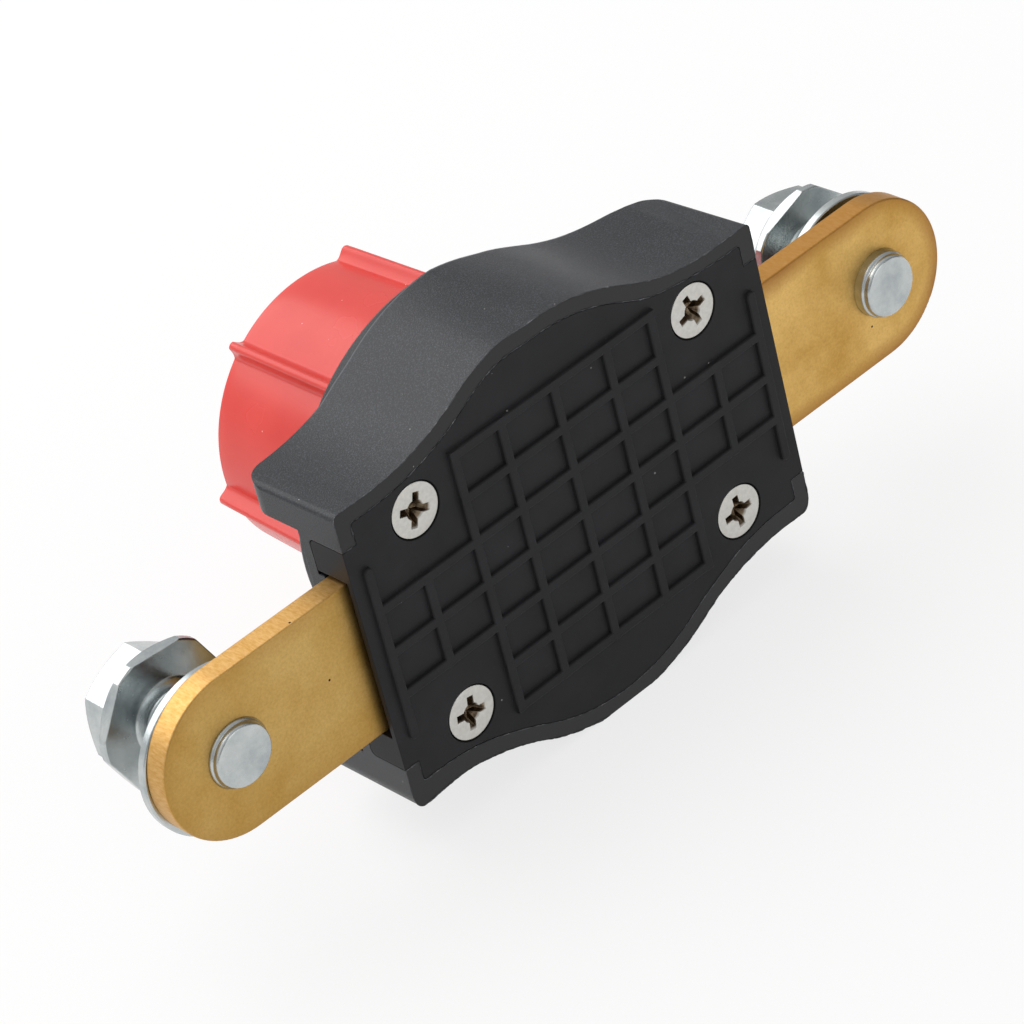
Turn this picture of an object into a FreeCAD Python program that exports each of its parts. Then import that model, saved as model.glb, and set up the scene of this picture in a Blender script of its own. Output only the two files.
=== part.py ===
import FreeCAD
import Part
import math
import os

# Battery disconnect switch: a knob-turned isolator between two brass terminal bars.
# Frame: X along the bars, +Z up, +Y towards the ribbed back. The origin is on the knob's
# axis, in the plane of the back cover's rib tops. Millimetres and degrees throughout.
# The switch is modelled off: turning the knob 90 degrees clockwise, seen from its front,
# carries the contact bridge across the inner ends of both bars.

V = FreeCAD.Vector

# Fits
slip = 0.05             # radial gap of a shaft or a thread in its hole
seam = 0.12             # gap round the cover, where it drops into the housing
face_gap = 0.3          # gap between flat faces that turn past each other

# Housing outline, seen from the back
end_x = 39.6            # half length
end_z = 24.5            # half height at the two ends
bulge_r = 33.2          # radius of the swelling above and below the knob
end_flat = 5.24         # straight length between the hollow curve and the end
corner_r = 0.9          # rounding of the two upper corners
low_corner_r = 1.8      # rounding of the two lower corners
seam_corner_r = 0.5     # rounding of the corners of the cover and its recess
plan_corner_r = 4.0     # rounding of the walls' front corners, seen from above

# Housing depths, measured from the rim towards the knob
wing_depth = 9.0        # front face of the low part at each end
wall_depth = 19.3       # front corners of the top and bottom walls
wall_bow = 2.0          # how much further the walls' front edge reaches over the knob
drum_depth = 25.3       # front face of the drum under the knob
floor_depth = 7.0       # inner floor beside the drum
drum_wall = 3.3         # thickness of the drum's front wall
boss_rise = 2.2         # spindle boss, proud of the drum's front

# Housing walls
rim_t = 2.45            # rim round the cover
ledge_t = 1.5           # ledge under the cover's edge
wall_t = 5.3            # top and bottom walls
drum_step = 2.8         # how far the drum stands back from the swelling
drum_side = 4.0         # side wall of the drum
edge_r = 0.6            # rounding of the drum's front edge
spindle_boss_r = 9.0
post_r = 4.6            # round posts that take the cover screws

# Back cover
cover_t = 3.0           # thickness at its edge
skin_t = 1.7            # thickness over the bars
tongue_z = 18.6         # half width of the tongues that close the end walls
tongue_r = 1.0          # rounding of a tongue's lower corners
boss_t = 2.0            # bosses under the cover at the screws
socket_r = 7.0          # boss round the rear journal's socket
socket_t = 2.4
rib_h = 0.7             # raised ribs on the back
rib_w = 1.5
rib_draft = 0.12        # how far each side of a rib leans in
col_pitch = 10.0        # upright ribs of the middle block
col_outer_in = 20.9     # outer uprights of the middle block, in from the end
side_col_in = 11.6      # short upright between the screws, in from the end
row_outer_in = 11.7     # outer level ribs, in from the swelling
rib_chamfer = 0.15
lone_in = 2.8           # long upright near each end, in from the end
lone_z = 14.5           # half length of that upright

# Cover screws: countersunk, cross recess
screw_in_x = 13.0       # in from the end
screw_in_z = 7.1        # in from the flat top
screw_head_r = 4.2
screw_r = 2.1
screw_len = 7.9
screw_room = 0.4        # room past a screw's tip
screw_land = 0.35       # straight edge of the head
recess_w = 1.1          # width of the cross at the surface
recess_span = 4.9
recess_core_r = 1.25    # the cross widens to this in its middle
recess_deep = 1.7
screw_turns = {(1, 1): -16.0, (1, -1): -9.0, (-1, 1): 21.0, (-1, -1): 4.0}

# Terminal bars
bar_w = 25.0
bar_t = 3.8
bar_back = 1.95         # back face of the bars, below the rim
bar_reach = 35.4        # how far a bar reaches past the housing's end
bar_inner_x = 10.0      # inner end of each bar
bar_edge_r = 0.3
peg_in = 7.6            # peg that keeps a bar from being pulled out, in from the end
peg_r = 2.6
bar_slot_gap = 0.8      # gap between a bar and the cover's slot
lip_t = 0.85            # thin edge of the cover where a bar leaves it
lip_len = 2.0

# Terminal bolts: M10 with a flanged hexagon head
bolt_r = 5.0
bolt_len = 16.0
thread_pitch = 1.5
flange_r = 11.0
flange_edge_t = 1.5
flange_t = 3.9          # height of the flange's cone
flange_trim = 10.15     # centre to the flange's flattened edges, at the hexagon's corners
neck_r = 0.8            # cone where the shank meets the flange
head_k = 8.0            # whole head
hex_af = 16.0           # across flats
left_tip = -0.65        # tips of the bolts, measured from the rim
right_tip = 0.5
left_hex = 35.0         # turn of each head
right_hex = 12.0

# Terminal washers
washer_r = 12.45
washer_hole_r = 5.85
washer_t = 1.5
washer_chamfer = 0.2
left_washer_drop = 45.0   # way that the left washer hangs, below +X
right_washer_drop = 80.0
right_washer_depth = 8.85 # near face of the washer that hangs on the right bolt

# Knob
knob_r = 21.7           # body at its front edge
knob_draft = 0.036      # growth of the radius per mm towards the housing
knob_front = 53.5       # front face, below the rim
knob_gap = 0.8          # gap between knob and drum
knob_wall = 2.3
knob_face_t = 3.0
knob_edge_r = 0.9
knob_ribs = 6
knob_rib_angle = -7.3   # first rib, from +X towards +Z
knob_rib_rise = 2.1
knob_rib_root = 1.5     # half width where a rib leaves the body
knob_rib_tip = 0.6      # rounding of its crest
hub_r = 9.0
web_t = 1.6
web_len = 10.0
dish_r = 7.6            # dish in the knob's face, for the screw head
dish_t = 4.4

# Spindle and knob screw
spindle_r = 6.0
spindle_flat = 4.6      # centre to each flat
spindle_square = 8.0    # square end in the contact carrier
square_len = 7.5
collar_r = 8.6
collar_t = 1.5
hub_end = 9.2           # tip of the spindle, behind the knob's face
seal_r = 0.72           # section radius of the sealing ring
seal_depth = 24.2
knob_screw_r = 2.5
knob_screw_len = 14.0
knob_screw_head_r = 4.6
knob_screw_head_t = 2.6
knob_washer_r = 6.2
knob_washer_t = 1.0

# Contact carrier, bridge and spring
carrier_side = 5.9      # room between the carrier and the chamber's wall
carrier_back = 10.3     # back face of the carrier, below the rim
driver_square = 10.0    # square that turns the bridge
journal_r = 4.0
journal_len = 2.6
lug_rise = 3.1          # stop lug on the carrier's edge
lug_angle = 135.0
lug_half = 8.0
lug_t = 5.0
turn_range = 90.0
stop_bite = 1.0         # overlap of the lug and the housing's stops
stop_half = 5.0
bridge_side = 4.4       # room between the bridge's ends and the chamber's wall
bridge_w = 14.0
bridge_t = 2.5
spring_r = 8.6          # mean radius of the contact spring
spring_wire = 0.7
spring_turns = 2.5
pocket_depth = 5.0

# Click balls
ball_r = 2.5
ball_angle = 45.0
ball_bite = 1.0         # how far a ball stands into the drum's wall
click_deep = 0.3        # extra depth of the pockets at the two ends of the track
ball_hole_len = 8.0
click_mean_r = 1.7
click_wire = 0.35
click_turns = 4.0

# Places that follow from the sizes above
sweep_x = end_x - end_flat
sweep_r = (end_z ** 2 + sweep_x ** 2 - bulge_r ** 2) / 2 / (bulge_r - end_z)
sweep_z = end_z + sweep_r
drum_r = bulge_r - drum_step
chamber_r = drum_r - drum_side
carrier_r = chamber_r - carrier_side
lug_r = carrier_r + lug_rise
stop_r = lug_r - stop_bite
bridge_half = chamber_r - bridge_side
ball_track_r = (collar_r + carrier_r) / 2
screw_x = end_x - screw_in_x
screw_z = end_z - screw_in_z
peg_x = end_x - peg_in
lone_x = end_x - lone_in
col_outer = end_x - col_outer_in
side_col_x = end_x - side_col_in
row_pitch = (bulge_r - row_outer_in) / 3

# Depths as places on Y
rim = -rib_h
wing_y = rim - wing_depth
wall_y = rim - wall_depth
wall_mid_y = wall_y - wall_bow
rim_corners = (corner_r, low_corner_r)
seam_corners = (seam_corner_r, seam_corner_r)
drum_y = rim - drum_depth
floor_y = rim - floor_depth
chamber_y = drum_y + drum_wall
boss_y = drum_y - boss_rise
bar_y = rim - bar_back
bar_front_y = bar_y - bar_t
bolt_x = end_x + bar_reach - bar_w / 2
knob_back_y = drum_y - knob_gap
knob_front_y = rim - knob_front
carrier_y = rim - carrier_back
carrier_front_y = chamber_y + face_gap
bridge_y = bar_front_y - face_gap
spring_seat_y = carrier_y - pocket_depth
ledge_y = rim - cover_t
hub_back_y = boss_y - knob_gap
spindle_front_y = knob_front_y + hub_end
collar_y = carrier_front_y + collar_t


def box(x0, x1, y0, y1, z0, z1):
    return Part.makeBox(x1 - x0, y1 - y0, z1 - z0, V(x0, y0, z0))


def rod(r, y0, y1, x=0.0, z=0.0):
    """A cylinder along Y between two depths."""
    low = min(y0, y1)
    return Part.makeCylinder(r, abs(y1 - y0), V(x, low, z), V(0, 1, 0))


def polygon(points):
    """A closed wire through points, each an (x, y, z) tuple."""
    return Part.makePolygon([V(*p) for p in points] + [V(*points[0])])


def turned(profile, x=0.0, z=0.0):
    """A turned piece: (radius, y) points spun about a line along Y."""
    face = Part.Face(polygon([(r, y, 0.0) for r, y in profile]))
    solid = face.revolve(V(0, 0, 0), V(0, 1, 0), 360)
    solid.translate(V(x, 0, z))
    return solid


def prism(wire, y1):
    """A wire that lies across Y, extruded to the depth y1."""
    y0 = wire.BoundBox.YMin
    return Part.Face(wire).extrude(V(0, y1 - y0, 0))


def spun(shape, angle, x=0.0, z=0.0):
    """Turn about a line along Y; positive angles go from +X towards +Z."""
    copy = shape.copy()
    copy.rotate(V(x, 0, z), V(0, 1, 0), -angle)
    return copy


def line(p, q):
    return Part.LineSegment(p, q).toShape()


def arc(p, m, q):
    return Part.Arc(p, m, q).toShape()


def outline(y, inset, half_x, roundings):
    """The housing's outline, drawn inset at depth y, with its own half length and upper and lower roundings."""
    centre_z = sweep_z
    centre_x = sweep_x
    swell = bulge_r - inset
    sweep = sweep_r + inset
    top = end_z - inset
    lean = math.atan2(centre_z, centre_x)
    tangent = V(swell * math.cos(lean), y, swell * math.sin(lean))
    middle = (lean + math.pi / 2) / 2
    sweep_mid = V(centre_x - sweep * math.cos(middle), y, centre_z - sweep * math.sin(middle))

    def half(turn):
        corner, other = roundings if turn > 0 else reversed(roundings)
        bend = corner * (1 - math.sqrt(0.5))

        def at(p):
            return V(p.x * turn, p.y, p.z * turn)

        def mirrored(p):
            return V(-p.x, p.y, p.z)

        side = V(half_x, y, top - corner)
        round_mid = V(half_x - bend, y, top - bend)
        shoulder = V(half_x - corner, y, top)
        foot = V(centre_x, y, top)
        crown = V(0, y, swell)
        return [
            line(at(V(half_x, y, other - top)), at(side)),
            arc(at(side), at(round_mid), at(shoulder)),
            line(at(shoulder), at(foot)),
            arc(at(foot), at(sweep_mid), at(tangent)),
            arc(at(tangent), at(crown), at(mirrored(tangent))),
            arc(at(mirrored(tangent)), at(mirrored(sweep_mid)), at(mirrored(foot))),
            line(at(mirrored(foot)), at(mirrored(shoulder))),
            arc(at(mirrored(shoulder)), at(mirrored(round_mid)), at(mirrored(side))),
        ]

    return Part.Wire(half(1) + half(-1))


def four(maker):
    """One copy of a piece at each cover screw."""
    return [maker(sx * screw_x, sz * screw_z) for sx in (1, -1) for sz in (1, -1)]


def rounded_slot(x0, x1, half_z, y_back, y_low, radius):
    """A bar along X with its two lower edges rounded."""
    turn = radius * (1 - math.sqrt(0.5))
    wire = Part.Wire([
        line(V(x0, y_back, -half_z), V(x0, y_low + radius, -half_z)),
        arc(V(x0, y_low + radius, -half_z), V(x0, y_low + turn, turn - half_z), V(x0, y_low, radius - half_z)),
        line(V(x0, y_low, radius - half_z), V(x0, y_low, half_z - radius)),
        arc(V(x0, y_low, half_z - radius), V(x0, y_low + turn, half_z - turn), V(x0, y_low + radius, half_z)),
        line(V(x0, y_low + radius, half_z), V(x0, y_back, half_z)),
        line(V(x0, y_back, half_z), V(x0, y_back, -half_z)),
    ])
    return Part.Face(wire).extrude(V(x1 - x0, 0, 0))


def wall_band():
    """Top and bottom walls, open at both ends, with rounded front corners in plan."""
    outer = prism(outline(rim, 0.0, end_x, rim_corners), wall_mid_y - 1.0)
    inner = prism(outline(rim, wall_t, end_x + 1.0, rim_corners), wall_mid_y - 2.0)
    band = outer.cut(inner)
    r = plan_corner_r
    bend = r * (1 - math.sqrt(0.5))
    low = -bulge_r - 1.0
    plan = Part.Wire([
        line(V(-end_x, rim, low), V(end_x, rim, low)),
        line(V(end_x, rim, low), V(end_x, wall_y + r, low)),
        arc(V(end_x, wall_y + r, low), V(end_x - bend, wall_y + bend, low), V(end_x - r, wall_y, low)),
        arc(V(end_x - r, wall_y, low), V(0, wall_mid_y, low), V(r - end_x, wall_y, low)),
        arc(V(r - end_x, wall_y, low), V(bend - end_x, wall_y + bend, low), V(-end_x, wall_y + r, low)),
        line(V(-end_x, wall_y + r, low), V(-end_x, rim, low)),
    ])
    return band.common(Part.Face(plan).extrude(V(0, 0, -2 * low)))


def drum_shell():
    bend = edge_r * (1 - math.sqrt(0.5))
    profile = [
        (0, rim), (drum_r, rim), (drum_r, drum_y + edge_r), (drum_r - bend, drum_y + bend),
        (drum_r - edge_r, drum_y), (spindle_boss_r, drum_y), (spindle_boss_r, boss_y + 0.5),
        (spindle_boss_r - 0.5, boss_y), (0, boss_y),
    ]
    return turned(profile)


def sector(r_in, r_out, mid, half, y0, y1):
    """A block between two radii, half degrees either side of the angle mid."""
    def at(r, a):
        return V(r * math.cos(math.radians(a)), y0, r * math.sin(math.radians(a)))

    wire = Part.Wire([
        arc(at(r_out, mid - half), at(r_out, mid), at(r_out, mid + half)),
        line(at(r_out, mid + half), at(r_in, mid + half)),
        arc(at(r_in, mid + half), at(r_in, mid), at(r_in, mid - half)),
        line(at(r_in, mid - half), at(r_out, mid - half)),
    ])
    return Part.Face(wire).extrude(V(0, y1 - y0, 0))


def ball_track():
    """Grooves in the drum's wall for both balls, with a deeper pocket at each end."""
    ball_y = chamber_y - ball_bite + ball_r
    bore = ball_r + slip
    cuts = []
    for side in (0.0, 180.0):
        start = ball_angle + side
        circle = Part.Wire(Part.makeCircle(bore, V(ball_track_r, ball_y, 0), V(0, 0, 1)))
        track = Part.Face(circle).revolve(V(0, 0, 0), V(0, 1, 0), turn_range)
        cuts.append(spun(track, start))
        for a in (start, start - turn_range):
            x = ball_track_r * math.cos(math.radians(a))
            z = ball_track_r * math.sin(math.radians(a))
            cuts.append(Part.makeSphere(bore, V(x, ball_y - click_deep, z)))
    return cuts


def stops():
    """Two blocks in the chamber that stop the lug at the ends of its travel."""
    clear = math.degrees(face_gap / lug_r)
    reach = lug_half + stop_half + clear
    middles = (lug_angle + reach, lug_angle - turn_range - reach)
    return [sector(stop_r, chamber_r + 1.0, m, stop_half, chamber_y - 0.5, chamber_y + lug_t) for m in middles]


def housing():
    body = prism(outline(rim, 0.0, end_x, rim_corners), wing_y)
    body = body.fuse([wall_band(), drum_shell()])
    recess = prism(outline(rim, rim_t, end_x - rim_t, seam_corners), ledge_y)
    hollow = prism(outline(rim, rim_t + ledge_t, end_x - rim_t - ledge_t, seam_corners), floor_y)
    cuts = [recess, hollow, rod(chamber_r, chamber_y, floor_y + 1)]
    for s in (1, -1):
        x0, x1 = sorted((s * (end_x - rim_t - 2 * ledge_t), s * (end_x + 1)))
        cuts.append(rounded_slot(x0, x1, tongue_z, rim + 1, floor_y, tongue_r))
    body = body.cut(cuts)
    adds = stops() + four(lambda x, z: rod(post_r, floor_y - 1, ledge_y - boss_t, x, z))
    for s in (1, -1):
        x0, x1 = sorted((s * (chamber_r + ledge_t), s * end_x))
        half_z = bar_w / 2 + slip
        adds.append(box(x0, x1, floor_y - 1, bar_front_y, -half_z, half_z))
        adds.append(rod(peg_r, floor_y - 1, bar_y, s * peg_x))
    body = body.fuse(adds)
    pilot = screw_r + slip
    bores = four(lambda x, z: rod(pilot, rim - screw_len - screw_room, rim, x, z))
    bores.append(rod(spindle_r + slip, boss_y - 1, chamber_y + 1))
    body = body.cut(bores + ball_track())
    return body.removeSplitter()


def cover_ribs():
    """Raised ribs: a grid block between the screws, two short blocks and two long uprights."""
    half_w = rib_w / 2
    top_row = 3

    def rib(x0, x1, z0, z1):
        foot = half_w + rib_draft
        root = rim - 0.2
        top = half_w - rib_chamfer
        rise = [(half_w, -rib_chamfer), (foot, root)]
        profile = [(-foot, root), (-half_w, -rib_chamfer), (-top, 0), (top, 0), *rise]
        if x1 - x0 > z1 - z0:
            z = (z0 + z1) / 2
            return Part.Face(polygon([(x0, y, z + a) for a, y in profile])).extrude(V(x1 - x0, 0, 0))
        x = (x0 + x1) / 2
        return Part.Face(polygon([(x + a, y, z0) for a, y in profile])).extrude(V(0, 0, z1 - z0))

    ribs = []
    for x in (-col_outer, -col_pitch, 0.0, col_pitch, col_outer):
        ribs.append(rib(x - half_w, x + half_w, -top_row * row_pitch - half_w, top_row * row_pitch + half_w))
    for k in range(-top_row, top_row + 1):
        z = k * row_pitch
        ribs.append(rib(-col_outer - half_w, col_outer + half_w, z - half_w, z + half_w))
    for s in (1, -1):
        for k in (-1, 0, 1):
            x0, x1 = sorted((s * col_outer, s * lone_x))
            ribs.append(rib(x0, x1, k * row_pitch - half_w, k * row_pitch + half_w))
        x = s * side_col_x
        ribs.append(rib(x - half_w, x + half_w, -row_pitch - half_w, row_pitch + half_w))
        x = s * lone_x
        ribs.append(rib(x - half_w, x + half_w, half_w - lone_z, lone_z - half_w))
        for end in (1, -1):
            foot = half_w + rib_draft
            crest = [(half_w, -rib_chamfer), (half_w - rib_chamfer, 0), (0, 0)]
            tip = turned([(0, rim - 0.2), (foot, rim - 0.2), *crest])
            tip.translate(V(x, 0, end * (lone_z - half_w)))
            ribs.append(tip)
    return ribs


def back_cover():
    inset = rim_t + seam
    plate = prism(outline(rim, inset, end_x - inset, seam_corners), ledge_y)
    parts = []
    for s in (1, -1):
        x0, x1 = sorted((s * (end_x - rim_t - ledge_t - 1.0), s * end_x))
        parts.append(rounded_slot(x0, x1, tongue_z - seam, rim, floor_y + seam, tongue_r))
    parts += four(lambda x, z: rod(post_r - 0.4, ledge_y - boss_t, ledge_y + 1, x, z))
    parts.append(rod(socket_r, ledge_y - socket_t, ledge_y + 1))
    plate = plate.fuse(parts)
    half_z = bar_w / 2 + bar_slot_gap
    cuts = []
    for s in (1, -1):
        x0, x1 = sorted((s * (socket_r + 1.0), s * (end_x + 1)))
        cuts.append(box(x0, x1, floor_y - 1, rim - skin_t, -half_z, half_z))
        x0, x1 = sorted((s * (end_x - lip_len), s * (end_x + 1)))
        cuts.append(box(x0, x1, floor_y - 1, rim - lip_t, -half_z, half_z))
    cuts.append(rod(journal_r + slip, ledge_y - socket_t - 1, rim - skin_t))
    cuts += four(lambda x, z: rod(screw_r + 3 * slip, ledge_y - boss_t - 1, rim + 1, x, z))
    sink = screw_head_r + seam
    deep = sink - screw_r
    cone = [(0, rim + 1), (sink, rim + 1), (sink, rim - screw_land), (screw_r, rim - screw_land - deep),
            (0, rim - screw_land - deep)]
    cuts += four(lambda x, z: turned(cone, x, z))
    return plate.cut(cuts).fuse(cover_ribs()).removeSplitter()


def cover_screw(x, z, turn):
    """Countersunk screw with a tapering cross recess; its thread is drawn as its outside."""
    head_y = rim - 0.05
    neck_y = head_y - screw_land - (screw_head_r - screw_r)
    tip_y = head_y - screw_len
    body = turned([
        (0, head_y), (screw_head_r, head_y), (screw_head_r, head_y - screw_land), (screw_r, neck_y),
        (screw_r, tip_y + 2.0), (0.5, tip_y), (0, tip_y),
    ])
    arms = []
    for a in (0.0, 90.0):
        half_w = recess_w / 2
        half_l = recess_span / 2
        foot = 0.35
        wedge = Part.makeWedge(-foot, head_y - recess_deep, -foot / 2, -half_w, -half_l,
                               foot, head_y + 0.02, foot / 2, half_w, half_l)
        arms.append(spun(wedge, a))
    high = head_y + 0.02
    low = head_y - recess_deep
    core = turned([(0, high), (recess_core_r, high), (foot, low), (0, low)])
    body = body.cut(arms[0].fuse([arms[1], core]))
    body = spun(body, turn)
    body.translate(V(x, 0, z))
    return body


def terminal_bar(side):
    """A flat brass bar with a round outer end, tapped for the terminal bolt."""
    x0 = side * bar_inner_x
    xe = side * bolt_x
    tip = side * (bolt_x + bar_w / 2)
    h = bar_w / 2
    wire = Part.Wire([
        line(V(x0, bar_y, -h), V(x0, bar_y, h)),
        line(V(x0, bar_y, h), V(xe, bar_y, h)),
        arc(V(xe, bar_y, h), V(tip, bar_y, 0), V(xe, bar_y, -h)),
        line(V(xe, bar_y, -h), V(x0, bar_y, -h)),
    ])
    bar = Part.Face(wire).extrude(V(0, -bar_t, 0))
    outer = [e for e in bar.Edges if abs(e.BoundBox.YLength) < 1e-6]
    bar = bar.makeFillet(bar_edge_r, outer)
    holes = [rod(bolt_r + slip, bar_front_y - 1, rim, xe), rod(peg_r + slip, bar_front_y - 1, rim, side * peg_x)]
    return bar.cut(holes)


def terminal_bolt(side, tip, turn):
    """Flanged hexagon bolt, screwed through the bar from the knob's side."""
    x = side * bolt_x
    tip_y = rim + tip
    seat = tip_y - bolt_len
    rim_r = bolt_r - 0.05
    shank = turned([
        (0, seat - 1.0), (bolt_r + neck_r, seat - 1.0), (bolt_r + neck_r, seat), (bolt_r, seat + neck_r),
        (bolt_r, tip_y - thread_pitch), (bolt_r - 0.4, tip_y - thread_pitch + 0.25),
        (bolt_r - 0.4, tip_y - 0.9), (rim_r, tip_y - 0.7), (rim_r, tip_y - 0.35), (rim_r - 0.35, tip_y),
        (rim_r - 0.8, tip_y), (rim_r - 1.1, tip_y - 0.15), (0, tip_y - 0.15),
    ])
    hex_r = hex_af / 2 / math.cos(math.radians(30))
    flange = turned([
        (0, seat), (flange_r - 0.2, seat), (flange_r, seat - 0.2), (flange_r, seat - flange_edge_t + 0.3),
        (flange_r - 0.3, seat - flange_edge_t), (hex_af / 2 + 0.1, seat - flange_t), (0, seat - flange_t),
    ])
    corners = [(hex_r * math.cos(math.radians(60 * k)), seat - 1.0, hex_r * math.sin(math.radians(60 * k)))
               for k in range(6)]
    front = seat - head_k
    block = Part.Face(polygon(corners)).extrude(V(0, front - seat + 1.0, 0))
    crown_r = hex_af / 2 * 0.94
    slope = math.tan(math.radians(30))
    crown = turned([
        (0, seat), (hex_r + 0.5, seat), (hex_r + 0.5, front + (hex_r + 0.5 - crown_r) * slope),
        (crown_r, front), (0, front),
    ])
    trim_r = flange_trim / math.cos(math.radians(30))
    trim = [(trim_r * math.cos(math.radians(60 * k + 30)), seat, trim_r * math.sin(math.radians(60 * k + 30)))
            for k in range(6)]
    flange = flange.common(Part.Face(polygon(trim)).extrude(V(0, -flange_t, 0)))
    bolt = shank.fuse([flange, block.common(crown)]).removeSplitter()
    bolt = spun(bolt, turn)
    bolt.translate(V(x, 0, 0))
    return bolt


def washer(x, y, r, hole_r, t, chamfer, hang=0.0, way=90.0):
    """A plain washer whose back face is at y; it hangs off centre, way degrees below +X."""
    c = chamfer
    down = math.radians(way)
    return turned([
        (hole_r, y), (r - c, y), (r, y - c), (r, y - t + c), (r - c, y - t), (hole_r, y - t),
    ], x + hang * math.cos(down), -hang * math.sin(down))


def knob_outer(depth_y):
    """The knob body's radius at a depth."""
    return knob_r + knob_draft * (depth_y - knob_front_y)


def knob_rib(angle):
    """One grip rib with hollow flanks, leaning out with the knob's draft."""
    y = knob_front_y
    root = knob_r - 0.4
    crest = knob_r + knob_rib_rise - knob_rib_tip
    waist = knob_r + knob_rib_rise * 0.3
    waist_half = (knob_rib_root + knob_rib_tip) * 0.45
    foot = knob_r - 0.1
    wire = Part.Wire([
        line(V(root, y, -knob_rib_root), V(foot, y, -knob_rib_root)),
        arc(V(foot, y, -knob_rib_root), V(waist, y, -waist_half), V(crest, y, -knob_rib_tip)),
        arc(V(crest, y, -knob_rib_tip), V(crest + knob_rib_tip, y, 0), V(crest, y, knob_rib_tip)),
        arc(V(crest, y, knob_rib_tip), V(waist, y, waist_half), V(foot, y, knob_rib_root)),
        line(V(foot, y, knob_rib_root), V(root, y, knob_rib_root)),
        line(V(root, y, knob_rib_root), V(root, y, -knob_rib_root)),
    ])
    length = knob_back_y - y
    return spun(Part.Face(wire).extrude(V(knob_draft * length, length, 0)), angle)


def spindle_section(y0, y1, gap):
    """The spindle's front end: round with two flats, grown by a gap."""
    bar = rod(spindle_r + gap, y0, y1)
    w = spindle_r + gap + 1
    flat = spindle_flat + gap
    return bar.common(box(-w, w, min(y0, y1), max(y0, y1), -flat, flat))


def knob():
    back_r = knob_outer(knob_back_y)
    bend = knob_edge_r * (1 - math.sqrt(0.5))
    y = knob_front_y
    shell = turned([
        (0, knob_back_y), (back_r, knob_back_y), (knob_outer(y + knob_edge_r), y + knob_edge_r),
        (knob_r - bend, y + bend), (knob_r - knob_edge_r, y), (0, y),
    ])
    shell = shell.fuse([knob_rib(knob_rib_angle + k * 360 / knob_ribs) for k in range(knob_ribs)])
    inner_y = y + knob_face_t
    hollow = turned([
        (hub_r, knob_back_y + 1), (back_r - knob_wall, knob_back_y + 1), (knob_outer(inner_y) - knob_wall, inner_y),
        (hub_r, inner_y),
    ])
    shell = shell.cut([hollow, rod(spindle_boss_r + knob_gap, hub_back_y, knob_back_y + 1)])
    webs = []
    for k in range(knob_ribs):
        web_end = knob_outer(inner_y) - knob_wall / 2
        web = box(hub_r - 0.5, web_end, inner_y - 0.5, inner_y + web_len, -web_t / 2, web_t / 2)
        webs.append(spun(web, knob_rib_angle + (k + 0.5) * 360 / knob_ribs))
    shell = shell.fuse(webs)
    seat_y = spindle_front_y - slip
    cuts = [spindle_section(seat_y, knob_back_y + 1, slip), rod(dish_r, y - 2, y + dish_t)]
    cuts.append(rod(knob_screw_r + 2 * slip, y - 1, seat_y + 1))
    return shell.cut(cuts).removeSplitter()


def knob_screw():
    """Pan head screw that holds the knob on the spindle."""
    under = knob_front_y + dish_t - knob_washer_t
    top = under - knob_screw_head_t
    tip = under + knob_screw_len
    r = knob_screw_head_r
    body = turned([
        (0, top), (r - 1.2, top), (r - 0.3, top + 0.7), (r, top + 1.4), (r, under), (knob_screw_r, under),
        (knob_screw_r, tip - 0.5), (knob_screw_r - 0.5, tip), (0, tip),
    ])
    arms = []
    for a in (0.0, 90.0):
        half_w = recess_w / 2
        half_l = recess_span / 2
        wedge = Part.makeWedge(-half_l, top - 0.02, -half_w, -half_w / 2, -0.4, half_l, top + recess_deep, half_w,
                               half_w / 2, 0.4)
        arms.append(spun(wedge, a + 30))
    return body.cut(arms[0].fuse(arms[1]))


def spindle():
    """Turned shaft: square end in the carrier, collar, journal, ring groove and two flats."""
    square_y = collar_y + square_len
    groove_y = rim - seal_depth
    deep = 2 * seal_r + slip
    body = turned([
        (0, collar_y), (collar_r, collar_y), (collar_r, collar_y - collar_t), (spindle_r, collar_y - collar_t),
        (spindle_r, groove_y + seal_r + slip), (spindle_r - deep, groove_y + seal_r + slip),
        (spindle_r - deep, groove_y - seal_r - slip), (spindle_r, groove_y - seal_r - slip),
        (spindle_r, boss_y), (0, boss_y),
    ])
    h = spindle_square / 2
    body = body.fuse([box(-h, h, collar_y - 0.2, square_y, -h, h), spindle_section(spindle_front_y, boss_y, 0.0)])
    hole = rod(knob_screw_r + slip, spindle_front_y - 1, spindle_front_y + knob_screw_len)
    return body.cut(hole).removeSplitter()


def spindle_seal():
    """Rubber ring in the spindle's groove."""
    y = rim - seal_depth
    circle = Part.Wire(Part.makeCircle(seal_r, V(spindle_r + slip / 2 - seal_r - 0.04, y, 0), V(0, 0, 1)))
    return Part.Face(circle).revolve(V(0, 0, 0), V(0, 1, 0), 360)


def ball_places():
    for side in (0.0, 180.0):
        a = math.radians(ball_angle + side)
        yield ball_track_r * math.cos(a), ball_track_r * math.sin(a)


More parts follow.
